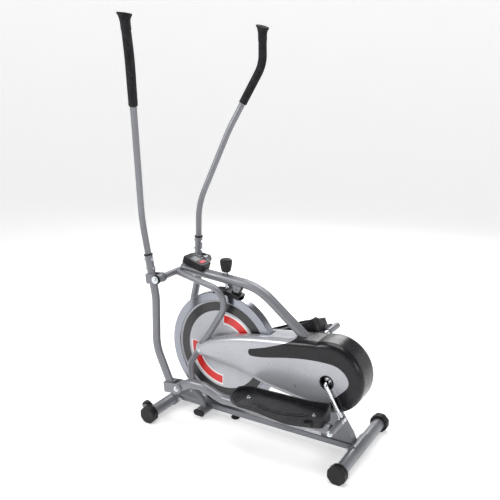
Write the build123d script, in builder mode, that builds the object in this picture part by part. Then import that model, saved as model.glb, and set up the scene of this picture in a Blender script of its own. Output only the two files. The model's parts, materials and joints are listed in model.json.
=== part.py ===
from build123d import *
import os
from math import atan2, cos, radians, sin

# Compact magnetic elliptical trainer, modelled as the assembly it is on a bench.
#
# Frame: +X runs towards the rear (where the user steps on), +Y to the user's right, +Z up.
# The origin is on the floor, under the middle of the rubber foot of the base tube.
# Places along the machine are given as stations: distances behind the front stabilizer's axis.

os.makedirs("parts", exist_ok=True)

# ---------------------------------------------------------------- driving dimensions (mm)
FRONT_X = -290.0                            # front stabilizer axis
AXIS_Z = 35.0                               # height of both stabilizers and of the base tube
STABILIZER_R, STABILIZER_HALF = 24.0, 221.0
TUBE_WALL = 2.0
BASE_WIDTH, BASE_HEIGHT = 50.0, 25.0
FOOT_TUBE_HALF = 84.0
FOOT_TUBE_LENGTH, FOOT_TUBE_HEIGHT = 50.0, 25.0
CAP_FLAT, CAP_ROUND = 35.0, 36.4            # half across the flats, radius that trims the corners
CAP_INNER_Y, CAP_FACE_Y = 197.0, 228.0

CROSS_R, CROSS_HALF = 12.7, 187.0           # cross tube that both arms swing on
MAIN_R = 19.5
BRACE_R, BRACE_Y = 12.7, 48.0

FLYWHEEL_R, FLYWHEEL_HALF = 247.0, 20.0
RIM_INNER_R = 212.0
AXLE_R = 6.0

CRANK_THROW = 146.0
CRANK_ANGLE = 30.1                          # left crank at rest, degrees rearward from straight down
CRANK_ROD_R, CRANK_ARM_Y = 8.0, 79.0

BELT_Y, BELT_WIDTH, BELT_THICKNESS, BELT_GAP = 42.0, 12.0, 3.0, 0.3
CRANK_PULLEY_R, FLYWHEEL_PULLEY_R = 98.0, 26.0

COVER_Y, COVER_WALL, COVER_ROUND = 66.0, 3.0, 26.0
COVER_SPLIT = 0.3                           # half of the seam between left and right covers

ARM_Y, ARM_R, HANDLE_R = 160.0, 16.0, 12.7
ARM_LEAN = 5.9                              # degrees from upright; left forward, right rearward
LOWER_PIVOT = (39.5, -454.0)                # in an arm's own frame

PEDAL_TUBE_R = 19.0
PEDAL_TOE, PEDAL_HEEL = 256.0, 646.0        # along a pedal tube, from its front pivot
PEDAL_INNER_Y, PEDAL_OUTER_Y = 94.0, 230.0
PEDAL_FLOOR = 34.0

RUN = 0.05                                  # radial clearance of a running fit
SIDES = {"left": -1, "right": 1}

# ---------------------------------------------------------------- shared points, as (x, z)
FRONT = (FRONT_X, AXIS_Z)
REAR = (FRONT_X + 845.0, AXIS_Z)
FOOT_TUBE = (FRONT_X + 163.0, 27.0)
PIVOT = (FRONT_X + 38.0, 617.0)
FLYWHEEL = (FRONT_X + 240.0, 302.0)
CRANK = (FRONT_X + 728.0, 298.0)
TRANSPORT = (FRONT_X - 39.0, 53.0)
BRAKE_PIVOT = (FRONT_X + 305.0, 573.0)
NOSE_SCREW = (FRONT_X + 158.0, 301.0)
KNOB_X = FRONT_X + 250.0


# ---------------------------------------------------------------- helpers
def at(station, y, z):
    """A point of the frame from its station."""
    return (FRONT_X + station, y, z)


def side_plane(y=0.0, spot=(0.0, 0.0)):
    """Upright sketch plane seen from the left: local x is X, local y is Z, extruding towards -Y."""
    return Plane(origin=(spot[0], y, spot[1]), x_dir=(1, 0, 0), z_dir=(0, -1, 0))


def bore_y(spot, radius, y_from, y_to, mode=Mode.ADD):
    """A cylinder along Y through (x, z), added to or cut from the open part."""
    with Locations((spot[0], (y_from + y_to) / 2, spot[1])):
        Cylinder(radius, abs(y_to - y_from), rotation=(90, 0, 0), mode=mode)


def stations(points):
    """Outline points (x, z) from points given by station."""
    return [(FRONT_X + station, z) for station, z in points]


def write(builder, name):
    """Label a finished piece and write its STEP file."""
    builder.part.label = name
    export_step(builder.part, f"parts/{name}.step")


def write_pair(builder, name, frame_of=None):
    """Write a right-hand piece, drawn in its own frame, and its left-hand mirror image."""
    for side_name, side in SIDES.items():
        piece = builder.part if side > 0 else builder.part.mirror(Plane.XZ)
        with BuildPart() as placed:
            add(piece.moved(frame_of(side)) if frame_of else piece)
        write(placed, f"{side_name}_{name}")


def largest(part):
    """The biggest solid of a part, without the offcuts left inside a coped joint."""
    return part.solids().sort_by(SortBy.VOLUME)[-1]


def swept(points, radii, radius, wall=0.0):
    """A round tube (or bar, without a wall) along straight runs joined by tangent arcs."""
    with BuildPart() as bar:
        with BuildLine() as route:
            if len(points) == 2:
                Line(*points)
            else:
                FilletPolyline(*points, radius=radii)
        with BuildSketch(Plane(origin=route.line @ 0, z_dir=route.line % 0)):
            Circle(radius)
            if wall:
                Circle(radius - wall, mode=Mode.SUBTRACT)
        sweep()
    return bar.part


def hexagon(plane, across, height, bore=0.0):
    """A hexagon prism standing on a plane."""
    with BuildSketch(plane) as outline:
        RegularPolygon(across / 2, 6, major_radius=False)
        if bore:
            Circle(bore, mode=Mode.SUBTRACT)
    extrude(outline.sketch, amount=height)


def acorn_nut(plane, across=13.0, height=5.0):
    """Hexagon nut with a domed end, standing on a plane."""
    hexagon(plane, across, height)
    dome = Sphere(across * 0.44, mode=Mode.PRIVATE)
    lower = Box(across, across, across, align=(Align.CENTER, Align.CENTER, Align.MAX), mode=Mode.PRIVATE)
    add((plane.offset(height).location * (dome - lower)))


def disc(plane, radius, height, bore=0.0, mode=Mode.ADD):
    """A disc or washer standing on a plane."""
    with BuildSketch(plane) as outline:
        Circle(radius)
        if bore:
            Circle(bore, mode=Mode.SUBTRACT)
    extrude(outline.sketch, amount=height, mode=mode)


def turned_y(spot, points, mode=Mode.ADD):
    """Solid of revolution about the Y line through (x, z), from (radius, y) points."""
    with BuildSketch(Plane(origin=(spot[0], 0, spot[1]), x_dir=(1, 0, 0), z_dir=(0, 0, 1))) as outline:
        Polygon(*points, align=None)
    revolve(outline.sketch, axis=Axis((spot[0], 0, spot[1]), (0, 1, 0)), mode=mode)


# ---------------------------------------------------------------- tube routes used by their neighbours too
MAIN_ROUTE = [at(38, 0, 621), at(398, 0, 596), at(600, 0, 437), at(728, 0, 298)]
MAIN_RADII = [230, 300]
BRACE_RUNS = [(38, 617), (312, 559), (97, 222), (112, 104), (150, 80), (163, 30)]
BRACE_RADII = [73, 60, 30, 18]
POST_OUTLINE = stations([(690, 47.5), (826, 47.5), (812, 80), (764, 152), (750, 298), (706, 298), (698, 150)])
POST_HOLLOW = stations([(695, 40), (820, 40), (809, 76), (760, 150), (747, 270), (710, 270), (703, 150)])
POST_HALF = 18.0


def brace_route(side):
    return [at(station, side * BRACE_Y, z) for station, z in BRACE_RUNS]


# ---------------------------------------------------------------- stabilizers, base tube and feet
BOLT_Y, SADDLE_HALF, SADDLE_R = 40.0, 56.0, STABILIZER_R + 4.0
WHEEL_Y, WHEEL_R, WHEEL_HALF = 178.0, 17.0, 11.0
EAR = stations([(-30, 62), (-45, 61), (-47, 45), (-38, 40), (-22, 30), (-14, 50)])

for name, spot, inward in (("front_stabilizer", FRONT, 1), ("rear_stabilizer", REAR, -1)):
    with BuildPart() as stabilizer:
        bore_y(spot, STABILIZER_R, -STABILIZER_HALF, STABILIZER_HALF)
        if spot == FRONT:
            # two ears and a pin for each transport wheel
            for ear_y in (WHEEL_Y - WHEEL_HALF - 2.5, WHEEL_Y + WHEEL_HALF + 2.5):
                for side in SIDES.values():
                    with BuildSketch(side_plane(side * ear_y)):
                        Polygon(*EAR, align=None)
                    extrude(amount=1.5, both=True)
            for side in SIDES.values():
                bore_y(TRANSPORT, 4, side * (WHEEL_Y - WHEEL_HALF - 6), side * (WHEEL_Y + WHEEL_HALF + 6))
        bore_y(spot, STABILIZER_R - TUBE_WALL, -STABILIZER_HALF, STABILIZER_HALF, Mode.SUBTRACT)
        with Locations(*[(spot[0] + inward * STABILIZER_R, side * BOLT_Y, spot[1]) for side in SIDES.values()]):
            Cylinder(4.2, STABILIZER_R, rotation=(0, 90, 0), mode=Mode.SUBTRACT)
    write(stabilizer, name)

with BuildPart() as transport_wheel:
    bore_y(TRANSPORT, WHEEL_R, WHEEL_Y - WHEEL_HALF, WHEEL_Y + WHEEL_HALF)
    fillet(transport_wheel.edges().filter_by(GeomType.CIRCLE), 2.5)
    bore_y(TRANSPORT, 4 + RUN, WHEEL_Y - WHEEL_HALF, WHEEL_Y + WHEEL_HALF, Mode.SUBTRACT)
write_pair(transport_wheel, "transport_wheel")

with BuildPart() as stabilizer_end_caps:
    for spot in (FRONT, REAR):
        for side in SIDES.values():
            with BuildSketch(side_plane(side * (CAP_INNER_Y + CAP_FACE_Y) / 2, spot)):
                Circle(CAP_ROUND)
                RegularPolygon(CAP_FLAT, 8, major_radius=False, rotation=22.5, mode=Mode.INTERSECT)
            extrude(amount=(CAP_FACE_Y - CAP_INNER_Y) / 2, both=True)
    ends = stabilizer_end_caps.faces().filter_by(lambda face: abs(face.center().Y) > CAP_FACE_Y - 0.1)
    chamfer(ends.edges(), 3.5)
    for spot in (FRONT, REAR):
        for side in SIDES.values():
            bore_y(spot, STABILIZER_R + 0.05, side * (CAP_INNER_Y - 1), side * (STABILIZER_HALF + 0.2),
                   Mode.SUBTRACT)
            for groove_y in (203.0, 211.0):
                disc(side_plane(side * groove_y + 1.2, spot), CAP_ROUND + 5, 2.4, CAP_FLAT - 2.5, Mode.SUBTRACT)
write(stabilizer_end_caps, "stabilizer_end_caps")

with BuildPart() as base_tube:
    with BuildSketch(Plane(origin=(FRONT[0], 0, AXIS_Z), x_dir=(0, 1, 0), z_dir=(1, 0, 0))):
        RectangleRounded(BASE_WIDTH, BASE_HEIGHT, 5)
        RectangleRounded(BASE_WIDTH - 2 * TUBE_WALL, BASE_HEIGHT - 2 * TUBE_WALL, 3, mode=Mode.SUBTRACT)
    extrude(amount=REAR[0] - FRONT[0])
    for spot, inward in ((FRONT, 1), (REAR, -1)):
        bore_y(spot, SADDLE_R, -SADDLE_HALF, SADDLE_HALF)
        with Locations((spot[0] - inward * SADDLE_R, 0, AXIS_Z)):
            Box(2 * SADDLE_R - 8, 2 * SADDLE_HALF + 2, 4 * SADDLE_R, mode=Mode.SUBTRACT)
        bore_y(spot, STABILIZER_R + 0.05, -SADDLE_HALF, SADDLE_HALF, Mode.SUBTRACT)
        with Locations(*[(spot[0], side * BOLT_Y, spot[1]) for side in SIDES.values()]):
            Cylinder(4.2, 4 * STABILIZER_R, rotation=(0, 90, 0), mode=Mode.SUBTRACT)
    with BuildSketch(side_plane(0, FOOT_TUBE)):
        SlotOverall(FOOT_TUBE_LENGTH, FOOT_TUBE_HEIGHT)
    extrude(amount=FOOT_TUBE_HALF, both=True, mode=Mode.SUBTRACT)
write(base_tube, "base_tube")

with BuildPart() as foot_tube:
    with BuildSketch(side_plane(0, FOOT_TUBE)):
        SlotOverall(FOOT_TUBE_LENGTH, FOOT_TUBE_HEIGHT)
        SlotOverall(FOOT_TUBE_LENGTH - 2 * TUBE_WALL, FOOT_TUBE_HEIGHT - 2 * TUBE_WALL, mode=Mode.SUBTRACT)
    extrude(amount=FOOT_TUBE_HALF, both=True)
write(foot_tube, "foot_tube")

with BuildPart() as foot_tube_caps:
    for side in SIDES.values():
        with BuildSketch(side_plane(side * (FOOT_TUBE_HALF + 3), FOOT_TUBE)):
            SlotOverall(FOOT_TUBE_LENGTH + 2, FOOT_TUBE_HEIGHT + 2)
        extrude(amount=3, both=True)
    ends = foot_tube_caps.faces().filter_by(lambda face: abs(face.center().Y) > FOOT_TUBE_HALF + 5.9)
    fillet(ends.edges(), 2.0)
    for side in SIDES.values():
        with BuildSketch(side_plane(side * (FOOT_TUBE_HALF - 8), FOOT_TUBE)):
            SlotOverall(FOOT_TUBE_LENGTH - 4.2, FOOT_TUBE_HEIGHT - 4.2)
        extrude(amount=8, both=True)
write(foot_tube_caps, "foot_tube_caps")

with BuildPart() as rubber_foot:
    with BuildSketch(Plane.XZ):
        Polygon((0, 0), (17, 0), (19, 4), (15, 10), (15, 22.5), (0, 22.5), align=None)
    revolve(axis=Axis.Z)
write(rubber_foot, "rubber_foot")

with BuildPart() as stabilizer_bolts:
    for spot, inward in ((FRONT, 1), (REAR, -1)):
        for side in SIDES.values():
            # the head is inside the tube, against its wall
            head = Plane(origin=(spot[0] + inward * 16, side * BOLT_Y, AXIS_Z), z_dir=(inward, 0, 0))
            disc(head, 6.5, 4.5)
            disc(head, 4, SADDLE_R - 16 + 5)
write(stabilizer_bolts, "stabilizer_bolts")

with BuildPart() as stabilizer_nuts:
    for spot, inward in ((FRONT, 1), (REAR, -1)):
        for side in SIDES.values():
            seat = Plane(origin=(spot[0] + inward * SADDLE_R, side * BOLT_Y, AXIS_Z), z_dir=(inward, 0, 0))
            disc(seat, 9, 2)
            acorn_nut(seat.offset(2), 14, 6)
            disc(seat.offset(-1), 4.02, 6.2, mode=Mode.SUBTRACT)
write(stabilizer_nuts, "stabilizer_nuts")

# ---------------------------------------------------------------- upper frame
with BuildPart() as cross_tube:
    bore_y(PIVOT, CROSS_R, -CROSS_HALF, CROSS_HALF)
    for side in SIDES.values():
        bore_y(PIVOT, CROSS_R + 4, side * 130, side * 135.5)
    bore_y(PIVOT, CROSS_R - TUBE_WALL, -CROSS_HALF, CROSS_HALF, Mode.SUBTRACT)
write(cross_tube, "cross_tube")

with BuildPart() as arm_end_bolts:
    for side in SIDES.values():
        end = side * CROSS_HALF
        bore_y(PIVOT, CROSS_R - TUBE_WALL - 0.05, side * (CROSS_HALF - 14), end)
        bore_y(PIVOT, 15, end, end + side * 2)
        acorn_nut(Plane(origin=(PIVOT[0], end + side * 2, PIVOT[1]), z_dir=(0, side, 0)), 15, 4)
write(arm_end_bolts, "arm_end_bolts")

STEM_R, STEM_BOTTOM, BOSS_TOP = 5.0, 565.0, 630.0
KNOB_BOTTOM, KNOB_TOP, KNOB_R = 636.0, 689.0, 25.0
SHELL_R, SHELL_BORE, SHELL_HALF = 23.0, 17.0, 36.0

with BuildPart() as main_raw:
    add(swept(MAIN_ROUTE, MAIN_RADII, MAIN_R, TUBE_WALL))
    # threaded boss for the tension stem
    with Locations((KNOB_X, 0, (BOSS_TOP + 600) / 2)):
        Cylinder(9, BOSS_TOP - 600)
    # two ears and a pin that carry the magnet bracket
    for side in SIDES.values():
        with BuildSketch(side_plane(side * 14)):
            Polygon(*stations([(288, 592), (328, 588), (316, 562), (294, 562)]), align=None)
        extrude(amount=2, both=True)
    bore_y(BRAKE_PIVOT, 3.5, -18, 18)
    with Locations((KNOB_X, 0, 600)):
        Cylinder(STEM_R + 0.08, 120, mode=Mode.SUBTRACT)
    bore_y(PIVOT, CROSS_R + 0.02, -60, 60, Mode.SUBTRACT)
    bore_y(CRANK, SHELL_R + 0.02, -60, 60, Mode.SUBTRACT)
with BuildPart() as main_tube:
    add(largest(main_raw.part))
write(main_tube, "main_tube")

PLATE_HALF_HEIGHT = 19.0
PLATE_Y = {"left": -38.0, "right": 54.0}
PLATE_FRONT = 148.0                         # station where the plates meet the braces
for side_name, side in SIDES.items():
    with BuildPart() as brace_raw:
        add(swept(brace_route(side), BRACE_RADII, BRACE_R))
        # plate from the brace back to the flywheel axle
        plate_length = 240 + PLATE_HALF_HEIGHT - PLATE_FRONT
        with BuildSketch(side_plane(PLATE_Y[side_name], (FRONT_X + PLATE_FRONT + plate_length / 2, FLYWHEEL[1]))):
            RectangleRounded(plate_length, 2 * PLATE_HALF_HEIGHT, 8)
        extrude(amount=2, both=True)
        add(swept(brace_route(side), BRACE_RADII, BRACE_R - TUBE_WALL), mode=Mode.SUBTRACT)
        bore_y(PIVOT, CROSS_R + 0.02, -90, 90, Mode.SUBTRACT)
        bore_y(FLYWHEEL, AXLE_R + 0.02, -90, 90, Mode.SUBTRACT)
        with BuildSketch(side_plane(0, FOOT_TUBE)):
            SlotOverall(FOOT_TUBE_LENGTH + 0.04, FOOT_TUBE_HEIGHT + 0.04)
        extrude(amount=FOOT_TUBE_HALF, both=True, mode=Mode.SUBTRACT)
    with BuildPart() as brace:
        add(largest(brace_raw.part))
    write(brace, f"{side_name}_brace")

with BuildPart() as rear_post:
    with BuildSketch(side_plane()):
        Polygon(*POST_OUTLINE, align=None)
    extrude(amount=POST_HALF, both=True)
    with BuildSketch(side_plane()):
        Polygon(*POST_HOLLOW, align=None)
    extrude(amount=POST_HALF - 3, both=True, mode=Mode.SUBTRACT)
    bore_y(CRANK, SHELL_R, -SHELL_HALF, SHELL_HALF)
    bore_y(CRANK, SHELL_BORE, -SHELL_HALF, SHELL_HALF, Mode.SUBTRACT)
    bore_y(REAR, SADDLE_R + 0.02, -60, 60, Mode.SUBTRACT)
write(rear_post, "rear_post")

with BuildPart() as crank_bearings:
    for side in SIDES.values():
        bore_y(CRANK, SHELL_BORE - 0.02, side * (SHELL_HALF - 11), side * SHELL_HALF)
        bore_y(CRANK, SHELL_R - 2, side * SHELL_HALF, side * (SHELL_HALF + 2.5))
    bore_y(CRANK, CRANK_ROD_R + RUN, -60, 60, Mode.SUBTRACT)
write(crank_bearings, "crank_bearings")

# ---------------------------------------------------------------- flywheel
HUB_R, HUB_BORE, HUB_HALF = 27.0, 16.0, 33.0
DISC_Y, DISC_WALL, LIP_R = 12.5, 2.5, 205.0

with BuildPart() as flywheel_rim:
    bevel, flange = 2.0, 4.0
    inner_y, outer_y = FLYWHEEL_HALF - flange, FLYWHEEL_HALF
    turned_y(FLYWHEEL, [
        (RIM_INNER_R, outer_y - bevel), (RIM_INNER_R + bevel, outer_y), (FLYWHEEL_R - bevel, outer_y),
        (FLYWHEEL_R, outer_y - bevel), (FLYWHEEL_R, bevel - outer_y), (FLYWHEEL_R - bevel, -outer_y),
        (RIM_INNER_R + bevel, -outer_y), (RIM_INNER_R, bevel - outer_y), (RIM_INNER_R, -inner_y),
        (FLYWHEEL_R - 12, -inner_y), (FLYWHEEL_R - 12, inner_y), (RIM_INNER_R, inner_y),
    ])
write(flywheel_rim, "flywheel_rim")

with BuildPart() as flywheel_web:
    edge, outer_r, face, back = FLYWHEEL_HALF - 4.0, RIM_INNER_R + 8, DISC_Y - 1.5, DISC_Y - 1.5 - DISC_WALL
    half = [
        (HUB_BORE, HUB_HALF), (HUB_R, HUB_HALF), (HUB_R, DISC_Y), (168, DISC_Y), (169.5, face), (LIP_R, face),
        (LIP_R + 4, edge), (outer_r, edge), (outer_r, edge - DISC_WALL), (LIP_R + 5, edge - DISC_WALL),
        (LIP_R + 1, back), (HUB_R + 3, back),
    ]
    turned_y(FLYWHEEL, half + [(radius, -y) for radius, y in reversed(half)])
write(flywheel_web, "flywheel_web")

with BuildPart() as flywheel_bearings:
    for side in SIDES.values():
        bore_y(FLYWHEEL, HUB_BORE - 0.02, side * (HUB_HALF - 11), side * (HUB_HALF - 1))
    bore_y(FLYWHEEL, AXLE_R + RUN, -60, 60, Mode.SUBTRACT)
write(flywheel_bearings, "flywheel_bearings")

with BuildPart() as flywheel_axle:
    bore_y(FLYWHEEL, AXLE_R, -45, 61)
    for y_face, side in ((-40, -1), (56, 1)):
        hexagon(Plane(origin=(FLYWHEEL[0], y_face, FLYWHEEL[1]), z_dir=(0, side, 0)), 19, 5)
write(flywheel_axle, "flywheel_axle")

# ---------------------------------------------------------------- belt drive
BELT_LOW, BELT_HIGH = BELT_Y - BELT_WIDTH / 2 - 0.5, BELT_Y + BELT_WIDTH / 2 + 0.5


def grooved_rim(spot, radius):
    """Rim of a ribbed-belt pulley: side flanges and three shallow grooves."""
    bore_y(spot, radius, BELT_LOW, BELT_HIGH)
    for y_from in (BELT_LOW - 1.5, BELT_HIGH):
        bore_y(spot, radius + 3, y_from, y_from + 1.5)
    for middle in (BELT_Y - 3, BELT_Y, BELT_Y + 3):
        turned_y(spot, [(radius + 1, middle - 1.2), (radius - 1.5, middle), (radius + 1, middle + 1.2)],
                 Mode.SUBTRACT)


with BuildPart() as flywheel_pulley:
    grooved_rim(FLYWHEEL, FLYWHEEL_PULLEY_R)
    bore_y(FLYWHEEL, FLYWHEEL_PULLEY_R - 3, HUB_HALF, BELT_Y)
    bore_y(FLYWHEEL, AXLE_R + 1, 0, 60, Mode.SUBTRACT)
write(flywheel_pulley, "flywheel_pulley")

with BuildPart() as crank_pulley:
    grooved_rim(CRANK, CRANK_PULLEY_R)
    for y_from, y_to in ((30, 40.5), (44.5, 60)):
        bore_y(CRANK, CRANK_PULLEY_R - 10, y_from, y_to, Mode.SUBTRACT)
    bore_y(CRANK, 24, 40.5, 51)
    bore_y(CRANK, 14.02, 0, 60, Mode.SUBTRACT)
    with BuildSketch(side_plane(BELT_Y, CRANK)):
        with PolarLocations(56, 5):
            Circle(19)
    extrude(amount=20, both=True, mode=Mode.SUBTRACT)
write(crank_pulley, "crank_pulley")

with BuildPart() as drive_belt:
    for extra, mode in ((BELT_GAP + BELT_THICKNESS, Mode.ADD), (BELT_GAP, Mode.SUBTRACT)):
        with BuildSketch(side_plane(BELT_Y)):
            with Locations(FLYWHEEL):
                Circle(FLYWHEEL_PULLEY_R + extra)
            with Locations(CRANK):
                Circle(CRANK_PULLEY_R + extra)
            make_hull()
        extrude(amount=BELT_WIDTH / 2, both=True, mode=mode)
write(drive_belt, "drive_belt")


# ---------------------------------------------------------------- crank
def crank_end(side):
    """(x, z) of a crank's end at rest."""
    angle = radians(CRANK_ANGLE)
    return (CRANK[0] - side * CRANK_THROW * sin(angle), CRANK[1] + side * CRANK_THROW * cos(angle))


EYE_R, EYE_HALF = 12.5, 9.0
with BuildPart() as crank:
    (left_x, left_z), (right_x, right_z) = crank_end(-1), crank_end(1)
    corners = [(left_x, -CRANK_ARM_Y, left_z), (CRANK[0], -CRANK_ARM_Y, CRANK[1]),
               (CRANK[0], CRANK_ARM_Y, CRANK[1]), (right_x, CRANK_ARM_Y, right_z)]
    add(swept(corners, 15, CRANK_ROD_R))
    for side in SIDES.values():
        bore_y(crank_end(side), EYE_R, side * (CRANK_ARM_Y - EYE_HALF), side * (CRANK_ARM_Y + EYE_HALF))
        bore_y(CRANK, 14, side * 40, side * 52)
write(crank, "crank")

# ---------------------------------------------------------------- drive covers
HUB_HOLE_R = 24.0
COVER_TOP = [(150, 335), (202, 358), (270, 381), (348, 400), (485, 421), (600, 436), (680, 444)]
COVER_BACK = (868, 303)
COVER_BELOW = [(745, 173), (600, 194), (445, 220), (352, 246), (277, 257), (200, 264), (150, 272)]
SWOOSH_LOWER = [(409, 333), (533, 354), (628, 370), (720, 375), (782, 362), (815, 316), (776, 258), (700, 165)]
LOWER_NORMALS = [(0, -1), (0, -1), (0, -1), (0, -1), (-0.4, -0.9), (-1, 0), (-0.9, 0.4), (-0.8, 0.6)]
SWOOSH_UPPER = [(604, 500), (596, 446), (545, 412), (475, 384), (405, 362)]


def cover_outline(inset):
    """Side outline of the drive cover: blunt nose, rising top, big round rear, shallow belly."""
    with BuildSketch(side_plane()) as outline:
        with BuildLine():
            top = Spline(*stations([(x, z - inset) for x, z in COVER_TOP]), tangents=[(1, 0.55), (1, 0.04)])
            belly = Spline(*stations([(x, z + inset) for x, z in COVER_BELOW]), tangents=[(-1, 0.03), (-1, 0.3)])
            ThreePointArc(top @ 1, (FRONT_X + COVER_BACK[0] - inset, COVER_BACK[1]), belly @ 0)
            ThreePointArc(belly @ 1, (FRONT_X + 128 + inset, 302), top @ 0)
        make_face()
    return outline.sketch


def cover_block(inset, y_from):
    """Right-hand block with the outside of the cover, rounded along its outer edge, smaller by inset."""
    with BuildPart() as block:
        extrude(cover_outline(inset).moved(Location((0, y_from, 0))), amount=-(COVER_Y - inset - y_from))
        fillet(block.faces().sort_by(Axis.Y)[-1].edges(), COVER_ROUND - inset)
    return block.part


def swoosh(grow):
    """Prism over the black rear cover and its tongue that runs forward along the side."""
    with BuildPart() as prism:
        with BuildSketch(side_plane()):
            with BuildLine():
                moved = [(x + grow * dx, z + grow * dz) for (x, z), (dx, dz) in zip(SWOOSH_LOWER, LOWER_NORMALS)]
                lower = Spline(*stations(moved), tangents=[(1, 0.05), (-0.6, -0.8)])
                upper = Spline(*stations([(x - grow, z + grow) for x, z in SWOOSH_UPPER]),
                               tangents=[(0, -1), (-1, -0.3)])
                far = stations([(700, 100), (960, 100), (960, 560), (604, 560)])
                Polyline(lower @ 1, *far, upper @ 0)
                ThreePointArc(upper @ 1, (FRONT_X + 391 - grow, 346), lower @ 0)
            make_face()
        extrude(amount=100, both=True)
    return prism.part


with BuildPart() as cover_shell:
    add(cover_block(0, COVER_SPLIT))
    add(cover_block(COVER_WALL, -2), mode=Mode.SUBTRACT)
    bore_y(FLYWHEEL, FLYWHEEL_R + 8, -24, 24, Mode.SUBTRACT)
    add(swept(MAIN_ROUTE, MAIN_RADII, MAIN_R + 1.5), mode=Mode.SUBTRACT)
    add(swept(brace_route(1), BRACE_RADII, BRACE_R + 1.2), mode=Mode.SUBTRACT)
    with BuildSketch(side_plane()):
        Polygon(*POST_OUTLINE, align=None)
        offset(amount=1.5)
    extrude(amount=POST_HALF + 1.5, both=True, mode=Mode.SUBTRACT)
    bore_y(CRANK, HUB_HOLE_R, 40, 80, Mode.SUBTRACT)
    bore_y(NOSE_SCREW, 2.3, 40, 80, Mode.SUBTRACT)

with BuildPart() as cover:
    add(largest(cover_shell.part - swoosh(0.4)))
write_pair(cover, "cover")

with BuildPart() as rear_cover:
    add(largest(cover_shell.part & swoosh(0)))
write_pair(rear_cover, "rear_cover")

with BuildPart() as cover_screws:
    for side in SIDES.values():
        bore_y(NOSE_SCREW, 2.0, side * (BRACE_Y + BRACE_R + 0.1), side * COVER_Y)
        bore_y(NOSE_SCREW, 5.0, side * COVER_Y, side * (COVER_Y + 2.2))
        with Locations((NOSE_SCREW[0], side * (COVER_Y + 2.2), NOSE_SCREW[1])):
            Box(6, 2.4, 1.2, mode=Mode.SUBTRACT)
            Box(1.2, 2.4, 6, mode=Mode.SUBTRACT)
write(cover_screws, "cover_screws")

# ---------------------------------------------------------------- monitor
MONITOR_SLOPE, MONITOR_LENGTH, MONITOR_HALF, MONITOR_DEPTH = 17.0, 102.0, 34.0, 28.0
SCREEN = (43.0, 34.0, 42.0)                 # centre along the slope, length, width
BUTTON = (77.0, 18.0, 34.0)
slope = radians(MONITOR_SLOPE)
monitor_top = Plane(origin=at(62, 0, 682), x_dir=(cos(slope), 0, -sin(slope)), z_dir=(sin(slope), 0, cos(slope)))
monitor_up = Axis((0, 0, 0), (sin(slope), 0, cos(slope)))

with BuildPart() as monitor_case:
    with BuildSketch(monitor_top):
        with Locations((MONITOR_LENGTH / 2, 0)):
            RectangleRounded(MONITOR_LENGTH, 2 * MONITOR_HALF, 12)
    extrude(amount=-MONITOR_DEPTH)
    fillet(monitor_case.faces().sort_by(monitor_up)[-1].edges(), 4)
    for along, long, wide in (SCREEN, BUTTON):
        with BuildSketch(monitor_top):
            with Locations((along, 0)):
                RectangleRounded(long, wide, 2.5)
        extrude(amount=-6, mode=Mode.SUBTRACT)
    add(swept(MAIN_ROUTE, MAIN_RADII, MAIN_R + 0.2), mode=Mode.SUBTRACT)
write(monitor_case, "monitor_case")

with BuildPart() as monitor_screen:
    with BuildSketch(monitor_top.offset(-6)):
        with Locations((SCREEN[0], 0)):
            RectangleRounded(SCREEN[1] - 0.1, SCREEN[2] - 0.1, 2.4)
    extrude(amount=5)
write(monitor_screen, "monitor_screen")

with BuildPart() as monitor_button:
    with BuildSketch(monitor_top.offset(-3.5)):
        with Locations((BUTTON[0], 0)):
            RectangleRounded(BUTTON[1] - 0.8, BUTTON[2] - 0.8, 2.2)
    extrude(amount=5)
    fillet(monitor_button.faces().sort_by(monitor_up)[-1].edges(), 0.8)
write(monitor_button, "monitor_button")

# ---------------------------------------------------------------- tension knob and magnet bracket
with BuildPart() as tension_knob:
    with BuildSketch(Plane(origin=(KNOB_X, 0, 0), x_dir=(1, 0, 0), z_dir=(0, -1, 0))):
        Polygon((0, KNOB_BOTTOM), (15, KNOB_BOTTOM), (19, KNOB_BOTTOM + 4), (KNOB_R - 1, KNOB_TOP - 22),
                (KNOB_R, KNOB_TOP - 8), (KNOB_R - 4, KNOB_TOP - 2), (KNOB_R - 9, KNOB_TOP), (0, KNOB_TOP),
                align=None)
    revolve(axis=Axis((KNOB_X, 0, 0), (0, 0, 1)))
    with BuildSketch(Plane(origin=(KNOB_X, 0, KNOB_BOTTOM - 1))):
        with PolarLocations(KNOB_R + 3.0, 12):
            Circle(5.0)
    extrude(amount=KNOB_TOP - KNOB_BOTTOM - 6, mode=Mode.SUBTRACT)
    with Locations((KNOB_X, 0, KNOB_BOTTOM + 10)):
        Cylinder(STEM_R + 0.02, 20.04, mode=Mode.SUBTRACT)
write(tension_knob, "tension_knob")

with BuildPart() as tension_stem:
    with Locations((KNOB_X, 0, (STEM_BOTTOM + KNOB_BOTTOM + 20) / 2)):
        Cylinder(STEM_R, KNOB_BOTTOM + 20 - STEM_BOTTOM)
    hexagon(Plane(origin=(KNOB_X, 0, BOSS_TOP + 0.4)), 14, KNOB_BOTTOM - BOSS_TOP - 0.4)
write(tension_stem, "tension_stem")

SHOE_INNER, SHOE_OUTER = FLYWHEEL_R + 6.0, FLYWHEEL_R + 13.0
SHOE_FROM, SHOE_TO = 71.0, 99.0             # degrees round the flywheel, from the rear


def ring_sector(inner, outer, start, end, y_from, y_to):
    """Sector of a ring about the flywheel's axis, between two Y planes, added to the open part."""
    with BuildSketch(side_plane(max(y_from, y_to), FLYWHEEL)) as outline:
        with BuildLine():
            low = CenterArc((0, 0), inner, start, end - start)
            high = CenterArc((0, 0), outer, start, end - start)
            Line(low @ 0, high @ 0)
            Line(low @ 1, high @ 1)
        make_face()
    extrude(outline.sketch, amount=abs(y_to - y_from))


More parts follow.
